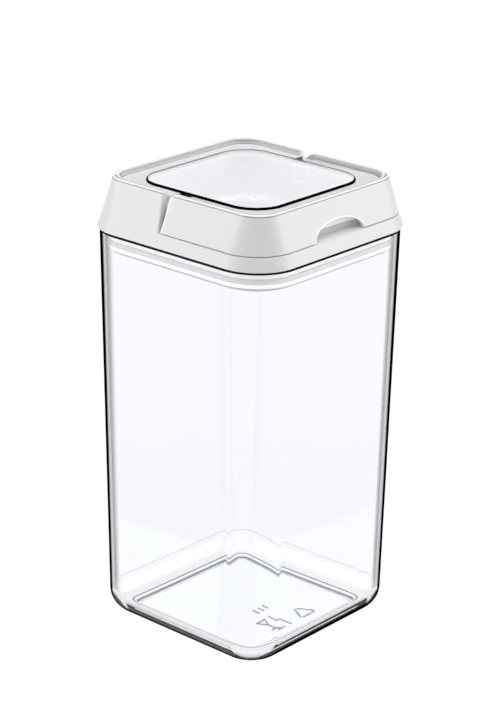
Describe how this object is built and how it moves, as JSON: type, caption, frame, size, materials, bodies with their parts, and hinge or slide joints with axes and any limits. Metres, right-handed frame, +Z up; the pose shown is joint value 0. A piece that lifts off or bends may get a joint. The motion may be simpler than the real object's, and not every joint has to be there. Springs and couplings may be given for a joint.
{
  "type": "food canister",
  "caption": "Tall square clear food canister with a lift-off white lid; its front half-ring lever squeezes a silicone seal.",
  "frame": {"origin": "middle of the base, on the plane that the jar stands on", "axes": "+Z up; -Y is the front, with the lever's finger notch; +X is the right when facing +Y"},
  "size_m": [0.1062, 0.1062, 0.2074],
  "materials": {
    "clear_plastic": "clear polished plastic",
    "white_plastic": "satin moulded white",
    "silicone": "translucent pale grey silicone"
  },
  "bodies": {
    "jar": {"jar_body": "clear_plastic"},
    "lid": {"lid_frame": "white_plastic", "window_bezel": "white_plastic", "top_window": "clear_plastic", "hinge_pin_left": "white_plastic", "hinge_pin_right": "white_plastic"},
    "lever": {"lever_handle": "white_plastic"},
    "seal": {"seal_carrier": "white_plastic", "pull_post_left": "white_plastic", "pull_post_right": "white_plastic", "lower_window": "clear_plastic", "silicone_gasket": "silicone", "snap_clip_1": "white_plastic", "snap_clip_2": "white_plastic", "snap_clip_3": "white_plastic", "snap_clip_4": "white_plastic", "snap_clip_5": "white_plastic", "snap_clip_6": "white_plastic", "snap_clip_7": "white_plastic", "snap_clip_8": "white_plastic"}
  },
  "joints": [
    {"name": "lid_lift", "type": "slide", "parent": "jar", "child": "lid", "axis": [0, 0, 1], "range_m": [0, 0.06]},
    {"name": "lever_hinge", "type": "hinge", "parent": "lid", "child": "lever", "pos_m": [0, 0.003, 0.202], "axis": [-1, 0, 0], "range_deg": [0, 90]},
    {"name": "seal_drop", "type": "slide", "parent": "lid", "child": "seal", "axis": [0, 0, -1], "range_m": [0, 0.0012], "deforming": ["silicone_gasket"]}
  ],
  "couplings": [
    {"joint": "seal_drop", "follows": "lever_hinge", "m_per_rad": 0.00076394}
  ]
}
